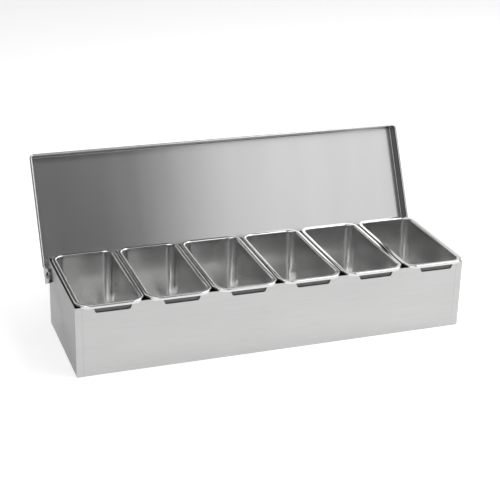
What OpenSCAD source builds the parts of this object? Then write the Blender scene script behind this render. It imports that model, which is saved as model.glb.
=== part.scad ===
// Six-compartment condiment organizer in folded stainless sheet.
// The lid is shown open, leaning back on its rear flange.
// X runs along the length, the finger notches are on the -Y side, Z is up.
// The origin is the middle of the underside.

/* [Case] */
// Length of the case over its end walls
case_length = 500; // [400:1:640]
// Depth of the case, front face to back face
case_depth = 154; // [130:1:200]
// Height of the case walls
case_height = 90; // [70:1:130]
// Thickness of the case and lid sheet
sheet = 0.8; // [0.6:0.1:1.2]
// Outside radius of the folds
fold_radius = 1.8; // [1.4:0.1:3]
// Width of the corner tabs welded behind the long walls
tab_width = 9; // [6:0.5:14]
// Gap between a tab's lower end and the floor, and its upper end and the rim
tab_relief = 5; // [3:0.5:10]

/* [Finger notches] */
// Width of a notch along its bottom edge
notch_width = 41; // [30:1:50]
// How much wider each side is at the top
notch_flare = 3.6; // [1:0.1:6]
// Depth of a notch below the wall's top edge
notch_depth = 8.4; // [6:0.1:14]
// Radius in the two lower corners of a notch
notch_radius = 2.4; // [1:0.1:4]
// Sideways offset of a notch from the middle of its insert
notch_shift = 2.1; // [-4:0.1:4]

/* [Inserts] */
// Gap between neighbouring rims
insert_gap = 1.3; // [0.4:0.1:8]
// Distance of the first rim from the left end face
row_start = 1.9; // [0.5:0.1:6]
// How far the last rim passes the right end face
row_overhang = 2.3; // [0:0.1:3]
// Thickness of the insert sheet
insert_sheet = 0.7; // [0.5:0.1:1]
// Gap between an insert and the long walls
insert_clearance = 0.4; // [0.3:0.1:1.5]
// How far the rims pass the front and back faces
rim_overhang = 4; // [3:0.1:7]
// Height of the rims above the wall's top edge
rim_rise = 2.7; // [2:0.1:4]
// Height of the rim's turned-down skirt
skirt_height = 3.5; // [2.5:0.1:5]
// Top radius between an insert's wall and its rim
mouth_radius = 2; // [1.2:0.1:3]
// Outside radius between the rim and its skirt
skirt_radius = 1.3; // [1:0.1:1.8]
// Inside radius of an insert's upright corners
corner_radius = 11; // [11:0.5:18]
// Inside radius around an insert's floor
floor_radius = 7; // [4:0.5:8]
// Draw angle of the insert walls
draw_angle = 1.8; // [0.5:0.1:2.2]

/* [Lid] */
// Depth of the front and side flanges, from the lid's top face
flange_depth = 15.5; // [12:0.5:18]
// Inside radius of the open hem turned outwards along the flanges' free edges
hem_bend = 0.8; // [0.5:0.1:1.2]
// Height of the hem's outer leaf above its bend
hem_leaf = 2.5; // [1.5:0.5:5]
// Gap between the hem's ends and the ears
hem_relief = 2.4; // [1.5:0.1:6]
// Length of the relief between the rear flange's ends and the ears
rear_relief = 6; // [4:0.5:12]
// Radius of the lid's front corners, seen from above
lid_corner_radius = 3; // [2.6:0.1:8]
// Clearance between the lid and the rims, over the whole travel
lid_clearance = 0.35; // [0.3:0.05:0.8]
// Angle of the lid from level when it leans back
open_angle = 116.7; // [105:0.1:122]
// Gap left at the stop behind the back wall
stop_gap = 0.3; // [0.2:0.05:0.5]

/* [Hinge] */
// Distance of the hinge axis in front of the back face
pin_inset = 7; // [6:0.1:9]
// Distance of the hinge axis below the case's top edge
pin_drop = 20; // [18:0.5:24]
// Radius of the lid's ears around the hinge axis
ear_radius = 9; // [8:0.5:10]
// Diameter of the rivet shank
rivet_d = 5; // [3:0.1:6]
// Radial running clearance of the rivets in the ears
pin_play = 0.05; // [0.03:0.01:0.1]
// Diameter of the rivet's domed head
head_d = 9.6; // [8:0.1:12]
// Height of the rivet's domed head
head_h = 2.2; // [1.5:0.1:3]
// Axial play of an ear on each of its sides
side_play = 0.15; // [0.1:0.05:0.3]
// Outside diameter of the spacer between ear and end wall
spacer_d = 12; // [9:0.1:14]
// Outside diameter of the backing washer inside the case
backing_d = 10.6; // [9:0.1:12]
// Thickness of the backing washer
backing_t = 0.8; // [0.5:0.1:1.2]
// Diameter of the peened end of the rivet
peen_d = 8; // [7:0.1:9]
// Thickness of the peened end of the rivet
peen_h = 1.1; // [0.8:0.1:1.4]

/* [Hidden] */
insert_count = 6;
$fn = 48;
// cuts run this far past the faces they go through
past = 1;

// the case's faces
end_x = case_length / 2;
back_y = case_depth / 2;
wall_in_y = back_y - sheet;
steel = "silver";
bright = "gainsboro";

// the row of inserts and the size of one
row_left = -end_x + row_start;
row_right = end_x + row_overhang;
pitch = (row_right - row_left + insert_gap) / insert_count;
rim_half_x = (pitch - insert_gap) / 2;
rim_half_y = back_y + rim_overhang;
body_half_y = wall_in_y - insert_clearance;
rim_reach = rim_half_y - body_half_y;
body_half_x = rim_half_x - rim_reach;
rim_z = case_height + rim_rise;
insert_height = rim_z - sheet;
outer_corner = corner_radius + insert_sheet;

// the hinge axis, and the lid's surfaces measured from it
pin_y = back_y - pin_inset;
pin_z = case_height - pin_drop;
// farthest reach of the rims' rounded outer edges, in front of and behind the axis
rim_edge_z = rim_z - skirt_radius - pin_z;
rim_front_reach = norm([rim_half_y - skirt_radius + pin_y, rim_edge_z]) + skirt_radius;
rim_back_reach = norm([rim_half_y - skirt_radius - pin_y, rim_edge_z]) + skirt_radius;
lid_under = rim_back_reach + lid_clearance;
lid_top = lid_under + sheet;
flange_low = lid_top - flange_depth;
lid_front_in = sqrt(pow(rim_front_reach + lid_clearance, 2) - pow(flange_low, 2));
lid_front = lid_front_in + sheet;
lid_back_in = rim_half_y - pin_y + 2 * lid_clearance;
lid_back = lid_back_in + sheet;
lid_in_x = end_x + row_overhang + lid_clearance;
lid_out_x = lid_in_x + sheet;
lean = open_angle - 90;
// lower edge of the rear flange, which meets the back wall as the lid leans back
stop_z = (pin_inset + stop_gap + sin(lean) * lid_back) / cos(lean);
lid_relief = rear_relief + past;
// outside radius of the hem's bend, the height of the bend's centre, and the hem's rear ends
hem_radius = hem_bend + sheet;
hem_z = flange_low + hem_radius;
hem_end = -ear_radius - hem_relief;

// points of an arc about c, from angle a to angle b
function arc(c, r, a, b, n = 6) =
    [for (i = [0:n]) c + r * [cos(a + (b - a) * i / n), sin(a + (b - a) * i / n)]];

// rectangle from corner p to corner q with all four corners rounded
module round_rect(p, q, r) {
    translate([p[0] + r, p[1]]) square([q[0] - p[0] - 2 * r, q[1] - p[1]]);
    translate([p[0], p[1] + r]) square([q[0] - p[0], q[1] - p[1] - 2 * r]);
    for (x = [p[0] + r, q[0] - r], y = [p[1] + r, q[1] - r])
        translate([x, y]) circle(r = r);
}

// block along X from -hx to hx whose section in the YZ plane is given
module along_x(hx) {
    translate([-hx, 0, 0]) rotate([90, 0, 90]) linear_extrude(2 * hx) children();
}

// block along Y from y0 to y1 whose section in the XZ plane is given
module along_y(y0, y1) {
    translate([0, y1, 0]) rotate([90, 0, 0]) linear_extrude(y1 - y0) children();
}

// box standing on low_z with the four lower edges rounded, as a folded sheet's are
module folded_box(hx, hy, low_z, high_z, r) {
    intersection() {
        along_x(hx) round_rect([-hy, low_z], [hy, high_z + 2 * r], r);
        along_y(-hy, hy) round_rect([-hx, low_z], [hx, high_z + 2 * r], r);
        translate([-hx, -hy, low_z]) cube([2 * hx, 2 * hy, high_z - low_z]);
    }
}

// outline of one finger notch below the wall's top edge, y being height
module notch_outline() {
    half = notch_width / 2;
    slope = atan2(notch_flare, notch_depth);
    // the lower corner arcs touch the bottom and the slanted side
    run = notch_radius * tan((90 - slope) / 2);
    low = -notch_depth;
    c = half - run;
    polygon(concat(
        arc([c, low + notch_radius], notch_radius, -90, -slope),
        [[half + notch_flare * (notch_depth + past) / notch_depth, past],
         [-half - notch_flare * (notch_depth + past) / notch_depth, past]],
        arc([-c, low + notch_radius], notch_radius, 180 + slope, 270)));
}

// middle of insert i along X, counted from 0
function insert_x(i) = row_left + rim_half_x + i * pitch;

// folded sheet box, open on top, with corner tabs, finger notches and rivet holes
module case() color(steel) difference() {
    union() {
        difference() {
            folded_box(end_x, back_y, 0, case_height, fold_radius);
            folded_box(end_x - sheet, wall_in_y, sheet, case_height + past, fold_radius - sheet);
        }
        for (sx = [-1, 1], sy = [-1, 1])
            scale([sx, sy, 1])
                translate([end_x - sheet - tab_width, wall_in_y - sheet, tab_relief])
                    cube([tab_width, sheet, case_height - 2 * tab_relief]);
    }
    for (i = [0:insert_count - 1])
        translate([insert_x(i) + notch_shift, -wall_in_y + past, case_height])
            rotate([90, 0, 0]) linear_extrude(sheet + 2 * past) notch_outline();
    translate([0, pin_y, pin_z]) rotate([0, 90, 0])
        cylinder(d = rivet_d, h = 2 * end_x + 2 * past, center = true);
}

// section of the drawn pan: x outwards from the corner's centre, y up from the pan's underside
module pan_section() {
    t = insert_sheet;
    h = insert_height;
    lean_in = tan(draw_angle) * (h - mouth_radius);
    foot = outer_corner - lean_in;
    rf = floor_radius;
    edge = outer_corner + rim_reach;
    // inner wall meets the mouth's arc, whose centre lies outside the wall
    mouth = [outer_corner - t + mouth_radius, h - mouth_radius];
    polygon(concat(
        [[0, 0]],
        arc([foot - rf - t, rf + t], rf + t, -90, -draw_angle),
        arc(mouth, mouth_radius - t, 180 - draw_angle, 90),
        arc([edge - skirt_radius, h - skirt_radius], skirt_radius - t, 90, 0, 4),
        [[edge - t, h - skirt_height], [edge, h - skirt_height]],
        arc([edge - skirt_radius, h - skirt_radius], skirt_radius, 0, 90, 4),
        arc(mouth, mouth_radius, 90, 180 - draw_angle),
        arc([foot - rf - t, rf + t], rf, -draw_angle, -90),
        [[0, t]]));
}

// one lift-out pan: the section carried round four corners and four sides, and the floor between
module pan() {
    cx = body_half_x - outer_corner;
    cy = body_half_y - outer_corner;
    for (k = [0:3]) {
        a = k * 90;
        corner = [(k == 0 || k == 3) ? cx : -cx, (k < 2) ? cy : -cy, 0];
        run = (k % 2 == 0) ? 2 * cy : 2 * cx;
        translate(corner) rotate([0, 0, a]) rotate_extrude(angle = 90) pan_section();
        // straight side that ends at this corner
        translate(corner) rotate([0, 0, a]) rotate([90, 0, 0])
            linear_extrude(run) pan_section();
    }
    translate([-cx, -cy, 0]) cube([2 * cx, 2 * cy, insert_sheet]);
}

module insert(i) color(bright) translate([insert_x(i), 0, sheet]) pan();

// plan of the lid's inside grown by g, measured from the hinge axis: the front corners are round
module lid_plan(g) {
    r = lid_corner_radius - sheet + g;
    hx = lid_in_x + g;
    front = -lid_front_in - g;
    back = lid_back_in + g;
    translate([-hx, front + r]) square([2 * hx, back - front - r]);
    translate([-hx + r, front]) square([2 * (hx - r), back - front]);
    for (x = [-hx + r, hx - r]) translate([x, front + r]) circle(r = r);
}

// solid under the lid's top face: grown by g, with its upper edges rounded by r
module lid_block(g, r, low) {
    top = lid_under + g;
    intersection() {
        along_x(lid_in_x + g)
            round_rect([-lid_front_in - g, low - 2 * r], [lid_back_in + g, top], r);
        along_y(-lid_front_in - g, lid_back_in + g)
            round_rect([-lid_in_x - g, low - 2 * r], [lid_in_x + g, top], r);
        translate([0, 0, low]) linear_extrude(top - low) lid_plan(g);
    }
}

// ear outline in the YZ plane: a round end about the axis, carried up to the flange
module ear_outline() {
    circle(r = ear_radius);
    translate([-ear_radius, 0]) square([2 * ear_radius, hem_z + sheet]);
}

// section of the open hem: x outwards from the flange's inner face, y up from the bend's underside
module hem_section() {
    r = hem_radius;
    polygon(concat(
        [[0, r + sheet]],
        arc([r, r], r, 180, 360, 10),
        [[2 * r, r + hem_leaf], [2 * r - sheet, r + hem_leaf]],
        arc([r, r], r - sheet, 360, 180, 8),
        [[sheet, r + sheet]]));
}

// the hem carried along both side flanges, round the two front corners and along the front
module hem() {
    r = lid_corner_radius - sheet;
    corner_x = lid_in_x - r;
    corner_y = -lid_front_in + r;
    translate([0, 0, flange_low]) {
        for (s = [-1, 1]) scale([s, 1, 1]) {
            translate([lid_in_x, hem_end, 0]) rotate([90, 0, 0])
                linear_extrude(hem_end - corner_y) hem_section();
            translate([corner_x, corner_y, 0]) rotate([0, 0, -90])
                rotate_extrude(angle = 90) translate([r, 0]) hem_section();
        }
        translate([corner_x, -lid_front_in, 0]) rotate([0, 0, -90]) rotate([90, 0, 0])
            linear_extrude(2 * corner_x) hem_section();
    }
}

// closed lid, measured from the hinge axis
module closed_lid() difference() {
    union() {
        difference() {
            lid_block(sheet, fold_radius, hem_z);
            lid_block(0, fold_radius - sheet, hem_z - past);
            // free edge of the rear flange, and the relief at its ends
            translate([-lid_out_x - past, ear_radius, flange_low - past])
                cube([2 * (lid_out_x + past), lid_back, stop_z - flange_low + past]);
            for (s = [-1, 1])
                translate([s * (lid_in_x + past) - lid_relief, ear_radius, flange_low - past])
                    cube([2 * lid_relief, lid_back, lid_top]);
        }
        hem();
        for (s = [-1, 1])
            translate([s * (lid_in_x + sheet / 2), 0, 0])
                rotate([90, 0, 90]) linear_extrude(sheet, center = true) ear_outline();
    }
    rotate([0, 90, 0])
        cylinder(d = rivet_d + 2 * pin_play, h = 2 * lid_out_x + 2 * past, center = true);
}

module lid() color(steel)
    translate([0, pin_y, pin_z]) rotate([-open_angle, 0, 0]) closed_lid();

// places a piece made along +Z on the hinge axis, Z pointing out of end s from the case's middle
module on_axis(s) {
    translate([0, pin_y, pin_z]) rotate([0, s * 90, 0]) children();
}

// shoulder rivet: domed head outside the ear, shank, and the peened end inside the case
module hinge_rivet(s) color(bright) on_axis(s) {
    inside = end_x - sheet - backing_t;
    seat = lid_out_x + side_play;
    dome_r = (pow(head_d / 2, 2) + pow(head_h, 2)) / (2 * head_h);
    translate([0, 0, inside - peen_h]) cylinder(d = peen_d, h = peen_h);
    translate([0, 0, inside - peen_h]) cylinder(d = rivet_d, h = seat - inside + peen_h);
    intersection() {
        translate([0, 0, seat]) cylinder(d = head_d, h = head_h);
        translate([0, 0, seat + head_h - dome_r]) sphere(r = dome_r, $fn = 64);
    }
}

// ring on the rivet between two faces
module ring(s, low, high, d) color(bright) on_axis(s) difference() {
    translate([0, 0, low]) cylinder(d = d, h = high - low);
    translate([0, 0, low - past]) cylinder(d = rivet_d, h = high - low + 2 * past);
}

module spacer(s) ring(s, end_x, lid_in_x - side_play, spacer_d);
module backing_washer(s) ring(s, end_x - sheet - backing_t, end_x - sheet, backing_d);

case();
lid();
insert(0);  // insert_1
insert(1);  // insert_2
insert(2);  // insert_3
insert(3);  // insert_4
insert(4);  // insert_5
insert(5);  // insert_6
hinge_rivet(-1);  // hinge_rivet_left
hinge_rivet(1);  // hinge_rivet_right
spacer(-1);  // spacer_left
spacer(1);  // spacer_right
backing_washer(-1);  // backing_washer_left
backing_washer(1);  // backing_washer_right
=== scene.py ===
"""The look of a six-compartment condiment organizer: folded and drawn stainless steel in a soft studio."""

import math

import bpy
import numpy as np
from mathutils import Matrix, Vector


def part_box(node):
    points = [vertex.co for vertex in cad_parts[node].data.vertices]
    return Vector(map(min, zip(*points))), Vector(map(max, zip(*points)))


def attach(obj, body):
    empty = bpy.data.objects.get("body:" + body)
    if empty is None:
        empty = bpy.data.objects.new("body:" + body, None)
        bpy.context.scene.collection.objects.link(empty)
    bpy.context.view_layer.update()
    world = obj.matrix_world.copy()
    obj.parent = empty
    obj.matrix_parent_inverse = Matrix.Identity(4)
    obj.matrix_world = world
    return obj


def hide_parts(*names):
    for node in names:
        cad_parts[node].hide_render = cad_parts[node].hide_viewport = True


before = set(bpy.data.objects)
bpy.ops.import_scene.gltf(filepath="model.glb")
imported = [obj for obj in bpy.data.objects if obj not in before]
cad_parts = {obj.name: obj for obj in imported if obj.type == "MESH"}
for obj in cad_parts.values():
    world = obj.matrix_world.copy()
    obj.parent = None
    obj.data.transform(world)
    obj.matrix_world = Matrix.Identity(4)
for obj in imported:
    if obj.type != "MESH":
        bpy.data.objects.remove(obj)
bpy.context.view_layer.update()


# The camera stands to the left of the case and a little above it, as the
# photographer's did: the left end, the front and the inside of the lid all show.
IMAGE_SIZE = 500
FOCAL_PIXELS = 1269.5
SENSOR_WIDTH = 36.0
CAMERA_PLACE = (-0.5127, -1.3810, 0.7201)
CAMERA_AZIMUTH = 20.01
CAMERA_DOWN = 22.73
CAMERA_ROLL = 1.49

camera_data = bpy.data.cameras.new("camera")
camera_data.sensor_width = SENSOR_WIDTH
camera_data.lens = FOCAL_PIXELS * SENSOR_WIDTH / IMAGE_SIZE
camera_data.clip_end = 50.0
camera = bpy.data.objects.new("camera", camera_data)
bpy.context.scene.collection.objects.link(camera)
azimuth = math.radians(CAMERA_AZIMUTH)
down = math.radians(CAMERA_DOWN)
roll = math.radians(CAMERA_ROLL)
forward = Vector((math.sin(azimuth) * math.cos(down), math.cos(azimuth) * math.cos(down), -math.sin(down)))
level_right = Vector((math.cos(azimuth), -math.sin(azimuth), 0.0))
level_up = level_right.cross(forward)
right = level_right * math.cos(roll) + level_up * math.sin(roll)
up = right.cross(forward)
camera.matrix_world = Matrix((
    (right.x, up.x, -forward.x, CAMERA_PLACE[0]),
    (right.y, up.y, -forward.y, CAMERA_PLACE[1]),
    (right.z, up.z, -forward.z, CAMERA_PLACE[2]),
    (0.0, 0.0, 0.0, 1.0)))
bpy.context.scene.camera = camera
bpy.context.scene.view_settings.view_transform = "Standard"


# The case is one sheet of stainless steel, cut out flat, folded up into a long
# box and welded at the corner tabs. Its grain runs along the sheet's length, so
# it lies level on the long walls and stands upright on the two ends.
# painted shade: the base colour of the case's two ends is multiplied by this
CASE_END_PAINTED_SHADE = 0.42
TAB_EDGE_X = 0.2415
TAB_LINE_HALF_WIDTH = 0.0006
TAB_LINE_TONE = 0.92
# a face looks along an axis where this share of its normal, or more, is along it
FACES_ALONG = 0.7


def steel_grain_group():
    """Builds the group of brushed steel: fine streaks of noise, drawn out by the material's own mapping,
    over soft clouds that come of handling and wiping. It gives a tone from 0 to 1, a roughness, a height."""
    group = bpy.data.node_groups.new("steel grain", "ShaderNodeTree")
    for name, kind in (("Streak place", "NodeSocketVector"), ("Cloud place", "NodeSocketVector"),
                       ("Cloud share", "NodeSocketFloat"), ("Smoothest", "NodeSocketFloat"),
                       ("Roughest", "NodeSocketFloat")):
        group.interface.new_socket(name, in_out="INPUT", socket_type=kind)
    for name in ("Tone", "Roughness", "Height"):
        group.interface.new_socket(name, in_out="OUTPUT", socket_type="NodeSocketFloat")
    nodes = group.nodes
    links = group.links
    entry = nodes.new("NodeGroupInput")
    leave = nodes.new("NodeGroupOutput")
    streaks = nodes.new("ShaderNodeTexNoise")
    streaks.inputs["Scale"].default_value = 1.0
    streaks.inputs["Detail"].default_value = 4.0
    streaks.inputs["Roughness"].default_value = 0.62
    links.new(entry.outputs["Streak place"], streaks.inputs["Vector"])
    clouds = nodes.new("ShaderNodeTexNoise")
    clouds.inputs["Scale"].default_value = 1.0
    clouds.inputs["Detail"].default_value = 2.0
    links.new(entry.outputs["Cloud place"], clouds.inputs["Vector"])
    blend = nodes.new("ShaderNodeMix")
    blend.data_type = "FLOAT"
    links.new(entry.outputs["Cloud share"], blend.inputs["Factor"])
    links.new(streaks.outputs["Fac"], blend.inputs["A"])
    links.new(clouds.outputs["Fac"], blend.inputs["B"])
    spread = nodes.new("ShaderNodeMapRange")
    spread.inputs["From Min"].default_value = 0.3
    spread.inputs["From Max"].default_value = 0.7
    links.new(blend.outputs["Result"], spread.inputs["Value"])
    links.new(spread.outputs["Result"], leave.inputs["Tone"])
    rough = nodes.new("ShaderNodeMapRange")
    links.new(spread.outputs["Result"], rough.inputs["Value"])
    links.new(entry.outputs["Smoothest"], rough.inputs["To Min"])
    links.new(entry.outputs["Roughest"], rough.inputs["To Max"])
    links.new(rough.outputs["Result"], leave.inputs["Roughness"])
    links.new(streaks.outputs["Fac"], leave.inputs["Height"])
    return group


STEEL_GRAIN = steel_grain_group()


def reckon(tree, operation, *terms):
    """Adds one Math node to the tree and gives its result: a term is a socket to link or a number to set."""
    node = tree.nodes.new("ShaderNodeMath")
    node.operation = operation
    for entry, term in zip(node.inputs, terms):
        if isinstance(term, float):
            entry.default_value = term
        else:
            tree.links.new(term, entry)
    return node.outputs["Value"]


def along(tree, coordinate, axis):
    """Gives one axis, X, Y or Z, of the piece's own Object place or Normal, as a socket."""
    place = tree.nodes.new("ShaderNodeTexCoord")
    parts = tree.nodes.new("ShaderNodeSeparateXYZ")
    tree.links.new(place.outputs[coordinate], parts.inputs["Vector"])
    return parts.outputs[axis]


def shade_where(material, mask, tone):
    """Multiplies the material's base colour by tone, as far as the mask, a socket from 0 to 1, says."""
    tree = material.node_tree
    base_colour = tree.nodes["Principled BSDF"].inputs["Base Color"]
    shaded = tree.nodes.new("ShaderNodeMix")
    shaded.data_type = "RGBA"
    shaded.blend_type = "MULTIPLY"
    shaded.inputs["B"].default_value = (tone, tone, tone, 1.0)
    tree.links.new(mask, shaded.inputs["Factor"])
    tree.links.new(base_colour.links[0].from_socket, shaded.inputs["A"])
    tree.links.new(shaded.outputs["Result"], base_colour)


def steel(name, dark, light, smooth, rough, streak_scale, cloud_scale, bump, end_scale=None,
          cloud_share=0.45, anisotropy=0.0, end_painted_shade=1.0):
    """A stainless material: base colour between dark and light by the grain's tone, roughness between smooth
    and rough. The streaks are noise scaled by streak_scale in each axis, or by end_scale on faces that look
    along X, whose base colour the last argument also multiplies down as painted shade. The clouds hold
    cloud_share of the pattern, and anisotropy draws the reflections out along the grain."""
    material = bpy.data.materials.new(name)
    material.use_nodes = True
    tree = material.node_tree
    nodes = tree.nodes
    links = tree.links
    shader = nodes["Principled BSDF"]
    shader.inputs["Metallic"].default_value = 1.0
    shader.inputs["Anisotropic"].default_value = anisotropy
    place = nodes.new("ShaderNodeTexCoord")
    on_end = reckon(tree, "GREATER_THAN", reckon(tree, "ABSOLUTE", along(tree, "Normal", "X")), FACES_ALONG)
    scales = nodes.new("ShaderNodeMix")
    scales.data_type = "VECTOR"
    scales.inputs["A"].default_value = streak_scale
    scales.inputs["B"].default_value = end_scale or streak_scale
    links.new(on_end, scales.inputs["Factor"])
    streak_place = nodes.new("ShaderNodeMapping")
    links.new(scales.outputs["Result"], streak_place.inputs["Scale"])
    links.new(place.outputs["Object"], streak_place.inputs["Vector"])
    cloud_place = nodes.new("ShaderNodeMapping")
    cloud_place.inputs["Scale"].default_value = cloud_scale
    links.new(place.outputs["Object"], cloud_place.inputs["Vector"])
    grain = nodes.new("ShaderNodeGroup")
    grain.node_tree = STEEL_GRAIN
    grain.inputs["Cloud share"].default_value = cloud_share
    grain.inputs["Smoothest"].default_value = smooth
    grain.inputs["Roughest"].default_value = rough
    links.new(streak_place.outputs["Vector"], grain.inputs["Streak place"])
    links.new(cloud_place.outputs["Vector"], grain.inputs["Cloud place"])
    tint = nodes.new("ShaderNodeMix")
    tint.data_type = "RGBA"
    tint.inputs["A"].default_value = (*dark, 1.0)
    tint.inputs["B"].default_value = (*light, 1.0)
    links.new(grain.outputs["Tone"], tint.inputs["Factor"])
    links.new(tint.outputs["Result"], shader.inputs["Base Color"])
    # painted shade: faces that look along X have their base colour multiplied down by the end's tone
    shade_where(material, on_end, end_painted_shade)
    links.new(grain.outputs["Roughness"], shader.inputs["Roughness"])
    relief = nodes.new("ShaderNodeBump")
    relief.inputs["Strength"].default_value = bump
    relief.inputs["Distance"].default_value = 0.0002
    links.new(grain.outputs["Height"], relief.inputs["Height"])
    links.new(relief.outputs["Normal"], shader.inputs["Normal"])
    if anisotropy:
        tangent = nodes.new("ShaderNodeTangent")
        tangent.direction_type = "RADIAL"
        tangent.axis = "X"
        links.new(tangent.outputs["Tangent"], shader.inputs["Tangent"])
    return material


def add_tab_lines(material):
    """Draws the line where a welded tab's edge prints through the long walls: on faces that look along Y,
    wherever the distance from the middle of the length is within half a line of the tab's edge."""
    tree = material.node_tree
    from_middle = reckon(tree, "ABSOLUTE", along(tree, "Object", "X"))
    at_edge = reckon(tree, "COMPARE", from_middle, TAB_EDGE_X, TAB_LINE_HALF_WIDTH)
    on_long_wall = reckon(tree, "ABSOLUTE", along(tree, "Normal", "Y"))
    shade_where(material, reckon(tree, "MULTIPLY", on_long_wall, at_edge), TAB_LINE_TONE)


case_steel = steel("brushed case steel", dark=(0.46, 0.46, 0.458), light=(0.53, 0.53, 0.528),
                   smooth=0.26, rough=0.34, streak_scale=(14.0, 700.0, 700.0),
                   end_scale=(700.0, 500.0, 9.0), cloud_scale=(9.0, 14.0, 22.0), bump=0.03,
                   anisotropy=0.4, end_painted_shade=CASE_END_PAINTED_SHADE)
add_tab_lines(case_steel)
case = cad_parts["case"]
case.data.materials.clear()
case.data.materials.append(case_steel)


# The six inserts are deep-drawn steel pans. Each one's mouth rolls outwards into
# a flat rim whose edge is turned down as a skirt. The rim is polished, the walls
# keep the sheen of the drawing and are lightened with painted light, the floor is
# duller, and the outside is rougher and darkened with painted shade.
INSERT_COUNT = 6
PAN_SHEET = 0.0007
PAN_MOUTH_RADIUS = 0.002
PAN_SKIRT_RADIUS = 0.0013
PAN_SKIRT_HEIGHT = 0.0035
PAN_CORNER_RADIUS = 0.0117
PAN_FLOOR_RADIUS = 0.007
PAN_RIM_REACH = 0.0052
PAN_DRAW_ANGLE = 1.8
PAN_FLOOR_STEPS = 12
PAN_WALL_STEPS = 13
PAN_MOUTH_STEPS = 10
PAN_SKIRT_STEPS = 8
PAN_HIDDEN_BEND_STEPS = 5
PAN_OUTER_MOUTH_STEPS = 6
PAN_OUTER_WALL_STEPS = 7
PAN_CREASE_ANGLE = 40.0
# faces of the section at which the floor, the wall and the rim end, in this order
PAN_FINISH_ENDS = np.cumsum([PAN_FLOOR_STEPS, PAN_WALL_STEPS, PAN_MOUTH_STEPS + PAN_SKIRT_STEPS + 3])
# face of the section half way round the bend over the skirt, from which the sides facing a neighbour get
# painted shade
PAN_PAINTED_SHADE_START = PAN_FLOOR_STEPS + PAN_WALL_STEPS + PAN_MOUTH_STEPS + 1 + PAN_SKIRT_STEPS // 2
# share of the outward direction that is along X where a side faces its neighbour
PAN_FACES_NEIGHBOUR = 0.9


def arc_points(centre, radius, start, end, steps):
    """Points at radius from centre, their angle running evenly from start to end in degrees."""
    angle = np.radians(np.linspace(start, end, steps + 1))
    return np.stack([centre[0] + radius * np.cos(angle), centre[1] + radius * np.sin(angle)], axis=1)


def points_between(first, last, steps):
    """Points that divide the line from first to last into even steps, without its two ends."""
    return np.linspace(first, last, steps + 1)[1:-1]


def pan_section(height):
    """The pan's cut edge from the middle of its floor up the inside, over the rim, round the skirt's lower
    edge and back down the outside: d outwards from the corner's centre, z up from the pan's underside."""
    t = PAN_SHEET
    draw = PAN_DRAW_ANGLE
    foot = PAN_CORNER_RADIUS - math.tan(math.radians(draw)) * (height - PAN_MOUTH_RADIUS)
    edge = PAN_CORNER_RADIUS + PAN_RIM_REACH
    low = height - PAN_SKIRT_HEIGHT
    floor_centre = (foot - PAN_FLOOR_RADIUS - t, PAN_FLOOR_RADIUS + t)
    mouth_centre = (PAN_CORNER_RADIUS - t + PAN_MOUTH_RADIUS, height - PAN_MOUTH_RADIUS)
    skirt_centre = (edge - PAN_SKIRT_RADIUS, height - PAN_SKIRT_RADIUS)
    inner_floor = arc_points(floor_centre, PAN_FLOOR_RADIUS, -90, -draw, PAN_FLOOR_STEPS)
    inner_mouth = arc_points(mouth_centre, PAN_MOUTH_RADIUS, 180 - draw, 90, PAN_MOUTH_STEPS)
    outer_bend = arc_points(skirt_centre, PAN_SKIRT_RADIUS, 90, 0, PAN_SKIRT_STEPS)
    hidden_bend = arc_points(skirt_centre, PAN_SKIRT_RADIUS - t, 0, 90, PAN_HIDDEN_BEND_STEPS)
    outer_mouth = arc_points(mouth_centre, PAN_MOUTH_RADIUS - t, 90, 180 - draw, PAN_OUTER_MOUTH_STEPS)
    outer_floor = arc_points(floor_centre, PAN_FLOOR_RADIUS + t, -draw, -90, PAN_FLOOR_STEPS)
    inner_wall = points_between(inner_floor[-1], inner_mouth[0], PAN_WALL_STEPS)
    outer_wall = points_between(outer_mouth[-1], outer_floor[0], PAN_OUTER_WALL_STEPS)
    return np.concatenate([inner_floor, inner_wall, inner_mouth, outer_bend, [[edge, low], [edge - t, low]],
                           hidden_bend, outer_mouth, outer_wall, outer_floor])


def rounded_path(half_x, half_y, arc_steps=16, side_steps=10):
    """Once round a rounded rectangle: the centre each point turns about, and its outward direction. It turns
    a quarter about each corner centre, then the centre slides along the side with the direction held."""
    corners = np.array([[half_x, half_y], [-half_x, half_y], [-half_x, -half_y], [half_x, -half_y]])
    centres = []
    angles = []
    for k in range(4):
        turn = np.linspace(90.0 * k, 90.0 * (k + 1), arc_steps + 1)
        centres.append(np.repeat(corners[k:k + 1], arc_steps + 1, axis=0))
        angles.append(turn)
        centres.append(points_between(corners[k], corners[(k + 1) % 4], side_steps))
        angles.append(np.full(side_steps - 1, turn[-1]))
    angle = np.radians(np.concatenate(angles))
    return np.concatenate(centres), np.stack([np.cos(angle), np.sin(angle)], axis=1)


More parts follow.
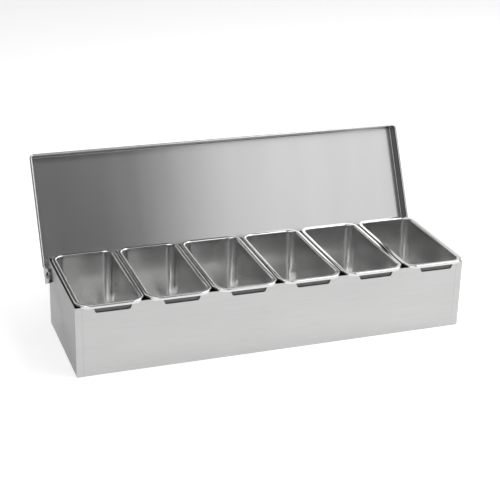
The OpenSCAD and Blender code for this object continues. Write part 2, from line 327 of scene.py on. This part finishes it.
def pan_mesh(name, middle_x, half_x, half_y, base_z, height):
    """The section carried round the rounded rectangle: each point is the path's centre plus d times its
    outward direction, at the section's height. One flat face each closes the floor's inside and underside.
    Where the outward direction is along X, the skirt and the lower half of its bend take the dark outside
    steel as painted shade."""
    centre, outward = rounded_path(half_x - PAN_CORNER_RADIUS, half_y - PAN_CORNER_RADIUS)
    section = pan_section(height)
    rounds = len(centre)
    steps = len(section)
    plan = centre[:, None, :] + section[None, :, :1] * outward[:, None, :]
    level = np.broadcast_to(section[None, :, 1:], (rounds, steps, 1))
    points = np.concatenate([plan, level], axis=2).reshape(-1, 3) + (middle_x, 0.0, base_z)
    i, j = np.meshgrid(np.arange(rounds), np.arange(steps - 1), indexing="ij")
    n = (i + 1) % rounds
    quads = np.stack([i * steps + j, i * steps + j + 1, n * steps + j + 1, n * steps + j], axis=2)
    faces = quads.reshape(-1, 4).tolist()
    faces.append((np.arange(rounds) * steps).tolist())
    faces.append((np.arange(rounds)[::-1] * steps + steps - 1).tolist())
    shaded_outside_slot = len(PAN_FINISH_ENDS)
    # painted shade: sides that face a neighbour take the dark outside steel from half way round the skirt's
    # bend
    painted_shade_sides = (np.abs(outward[i, 0]) > PAN_FACES_NEIGHBOUR) & (j >= PAN_PAINTED_SHADE_START)
    finish = np.where(painted_shade_sides, shaded_outside_slot, np.digitize(j, PAN_FINISH_ENDS)).reshape(-1).tolist() + [0, shaded_outside_slot]
    mesh = bpy.data.meshes.new(name)
    mesh.from_pydata(points.tolist(), [], faces)
    mesh.polygons.foreach_set("use_smooth", np.ones(len(faces), dtype=bool))
    mesh.polygons.foreach_set("material_index", np.array(finish, dtype=np.int32))
    mesh.set_sharp_from_angle(angle=math.radians(PAN_CREASE_ANGLE))
    mesh.update()
    return mesh


rim_steel = steel("polished rim steel", dark=(0.6, 0.6, 0.597), light=(0.66, 0.66, 0.657),
                  smooth=0.07, rough=0.11, streak_scale=(260.0, 260.0, 260.0),
                  cloud_scale=(18.0, 18.0, 18.0), bump=0.01)
# painted light: the walls' base colour is lifted well above the rim's and the floor's, so the pans' insides
# read lighter
painted_light_inside_steel = steel("drawn inside steel with painted light", dark=(0.9, 0.9, 0.897), light=(0.94, 0.94, 0.937),
                     smooth=0.17, rough=0.22, streak_scale=(160.0, 160.0, 16.0),
                     cloud_scale=(22.0, 22.0, 14.0), bump=0.002, cloud_share=0.7)
floor_steel = steel("dull floor steel", dark=(0.6, 0.6, 0.597), light=(0.66, 0.66, 0.657),
                    smooth=0.25, rough=0.3, streak_scale=(160.0, 40.0, 160.0),
                    cloud_scale=(22.0, 14.0, 12.0), bump=0.001, cloud_share=0.7)
# painted shade: the outside's near-black base colour stands for the shade under the skirts and between the
# pans
shaded_outside_steel = steel("unpolished drawn steel with painted shade", dark=(0.09, 0.09, 0.09), light=(0.16, 0.16, 0.158),
                      smooth=0.42, rough=0.55, streak_scale=(200.0, 200.0, 40.0),
                      cloud_scale=(30.0, 30.0, 20.0), bump=0.08)
for number in range(1, INSERT_COUNT + 1):
    node = f"insert_{number}"
    low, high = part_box(node)
    pan = bpy.data.objects.new(f"pan_{number}", pan_mesh(
        f"pan_{number}", (low[0] + high[0]) / 2, (high[0] - low[0]) / 2 - PAN_RIM_REACH,
        (high[1] - low[1]) / 2 - PAN_RIM_REACH, low[2], high[2] - low[2]))
    bpy.context.scene.collection.objects.link(pan)
    for finish_steel in (floor_steel, painted_light_inside_steel, rim_steel, shaded_outside_steel):
        pan.data.materials.append(finish_steel)
    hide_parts(node)
    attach(pan, "case")


# The lid is a second folded sheet: a flat panel with flanges on all four sides,
# and an open hem turned outwards along the front and the ends. It is brushed
# along its length, but not inside its end flanges. Its ends are darkened with
# painted shade, and the insides of the end flanges more so.
# painted shade: the base colour of the lid's ends, and again of their flanges' insides, is multiplied by
# these
LID_END_PAINTED_SHADE = 0.38
FLANGE_INSIDE_PAINTED_SHADE = 0.3


def add_painted_flange_shade(material):
    """Paints shade on the insides of the end flanges, darkening them wherever the normal points back along X
    to the middle of the length, so that its X times the sign of the place's X is below minus the limit."""
    tree = material.node_tree
    side = reckon(tree, "SIGN", along(tree, "Object", "X"))
    away_from_middle = reckon(tree, "MULTIPLY", along(tree, "Normal", "X"), side)
    shade_where(material, reckon(tree, "LESS_THAN", away_from_middle, -FACES_ALONG), FLANGE_INSIDE_PAINTED_SHADE)


lid_steel = steel("brushed lid steel", dark=(0.49, 0.49, 0.49), light=(0.52, 0.52, 0.52),
                  smooth=0.22, rough=0.24, streak_scale=(8.0, 700.0, 700.0),
                  end_scale=(700.0, 500.0, 500.0), cloud_scale=(26.0, 4.0, 4.0), bump=0.001,
                  cloud_share=0.8, anisotropy=0.3, end_painted_shade=LID_END_PAINTED_SHADE)
add_painted_flange_shade(lid_steel)
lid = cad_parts["lid"]
lid.data.materials.clear()
lid.data.materials.append(lid_steel)


# Two rivets with domed heads hang the lid's ears on the end walls, with a plain
# spacer outside each wall and a backing washer inside it.
# painted reflection: the fasteners' dark base colour stands for the dark surroundings that the domed heads
# mirror
painted_dark_rivet_steel = steel("satin rivet steel with painted dark reflection", dark=(0.14, 0.14, 0.14), light=(0.24, 0.24, 0.237),
                    smooth=0.25, rough=0.36, streak_scale=(300.0, 300.0, 300.0),
                    cloud_scale=(60.0, 60.0, 60.0), bump=0.05)
for part in ("hinge_rivet", "spacer", "backing_washer"):
    for end in ("left", "right"):
        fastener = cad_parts[f"{part}_{end}"]
        fastener.data.materials.clear()
        fastener.data.materials.append(painted_dark_rivet_steel)


# The studio: a pale floor, a white backdrop far behind and a dim grey room all
# round, lit by five soft lights: two overhead, two beside the camera and one
# above it.
ROOM_HALF = 3.2
ROOM_GREY = 0.1


def stage_surface(name, corners, grey, glow):
    """A flat four-cornered surface of plain grey, which shows glow more to the camera and in reflections."""
    mesh = bpy.data.meshes.new(name)
    mesh.from_pydata(corners, [], [(0, 1, 2, 3)])
    surface = bpy.data.objects.new(name, mesh)
    bpy.context.scene.collection.objects.link(surface)
    material = bpy.data.materials.new(name)
    material.use_nodes = True
    tree = material.node_tree
    tree.nodes.remove(tree.nodes["Principled BSDF"])
    matt = tree.nodes.new("ShaderNodeBsdfDiffuse")
    matt.inputs["Color"].default_value = (grey, grey, grey, 1.0)
    light = tree.nodes.new("ShaderNodeEmission")
    ray = tree.nodes.new("ShaderNodeLightPath")
    seen = reckon(tree, "MAXIMUM", ray.outputs["Is Camera Ray"], ray.outputs["Is Glossy Ray"])
    seen_at_all = reckon(tree, "MAXIMUM", seen, ray.outputs["Is Transmission Ray"])
    tree.links.new(reckon(tree, "MULTIPLY", seen_at_all, glow), light.inputs["Strength"])
    both = tree.nodes.new("ShaderNodeAddShader")
    tree.links.new(matt.outputs["BSDF"], both.inputs[0])
    tree.links.new(light.outputs["Emission"], both.inputs[1])
    tree.links.new(both.outputs["Shader"], tree.nodes["Material Output"].inputs["Surface"])
    mesh.materials.append(material)


def softbox(name, place, target, width, height, brightness):
    """A rectangular lamp at place that faces target; its power is brightness times its area times pi."""
    lamp_data = bpy.data.lights.new(name, "AREA")
    lamp_data.shape = "RECTANGLE"
    lamp_data.size = width
    lamp_data.size_y = height
    lamp_data.energy = brightness * width * height * math.pi
    lamp = bpy.data.objects.new(name, lamp_data)
    facing = (Vector(target) - Vector(place)).to_track_quat("-Z", "Y").to_matrix().to_4x4()
    lamp.matrix_world = Matrix.Translation(place) @ facing
    bpy.context.scene.collection.objects.link(lamp)


stage_surface("floor", [(-ROOM_HALF, -ROOM_HALF, 0.0), (ROOM_HALF, -ROOM_HALF, 0.0),
                        (ROOM_HALF, ROOM_HALF, 0.0), (-ROOM_HALF, ROOM_HALF, 0.0)], grey=0.6, glow=0.6)
stage_surface("backdrop", [(-ROOM_HALF, ROOM_HALF, 0.0), (ROOM_HALF, ROOM_HALF, 0.0),
                           (ROOM_HALF, ROOM_HALF, ROOM_HALF), (-ROOM_HALF, ROOM_HALF, ROOM_HALF)],
              grey=0.6, glow=0.8)
softbox("top light", place=(-0.7, 0.3, 2.2), target=(0.0, 0.0, 0.1),
        width=1.6, height=0.9, brightness=2.4)
softbox("overhead light", place=(1.6, -0.1, 1.7), target=(0.0, 0.0, 0.1),
        width=1.9, height=2.0, brightness=3.5)
softbox("right light", place=(1.41, -1.4, 1.45), target=(1.35, 0.12, 0.13),
        width=1.8, height=2.3, brightness=1.17)
softbox("front light", place=(0.1, -1.1, 2.1), target=(0.1, 0.0, 0.1),
        width=2.0, height=0.5, brightness=2.2)
softbox("left light", place=(-1.08, -1.96, 1.66), target=(0.03, 0.12, 0.13),
        width=1.9, height=2.5, brightness=1.6)

world = bpy.data.worlds.new("room")
bpy.context.scene.world = world
world.use_nodes = True
world.node_tree.nodes["Background"].inputs["Color"].default_value = (ROOM_GREY, ROOM_GREY, ROOM_GREY, 1.0)
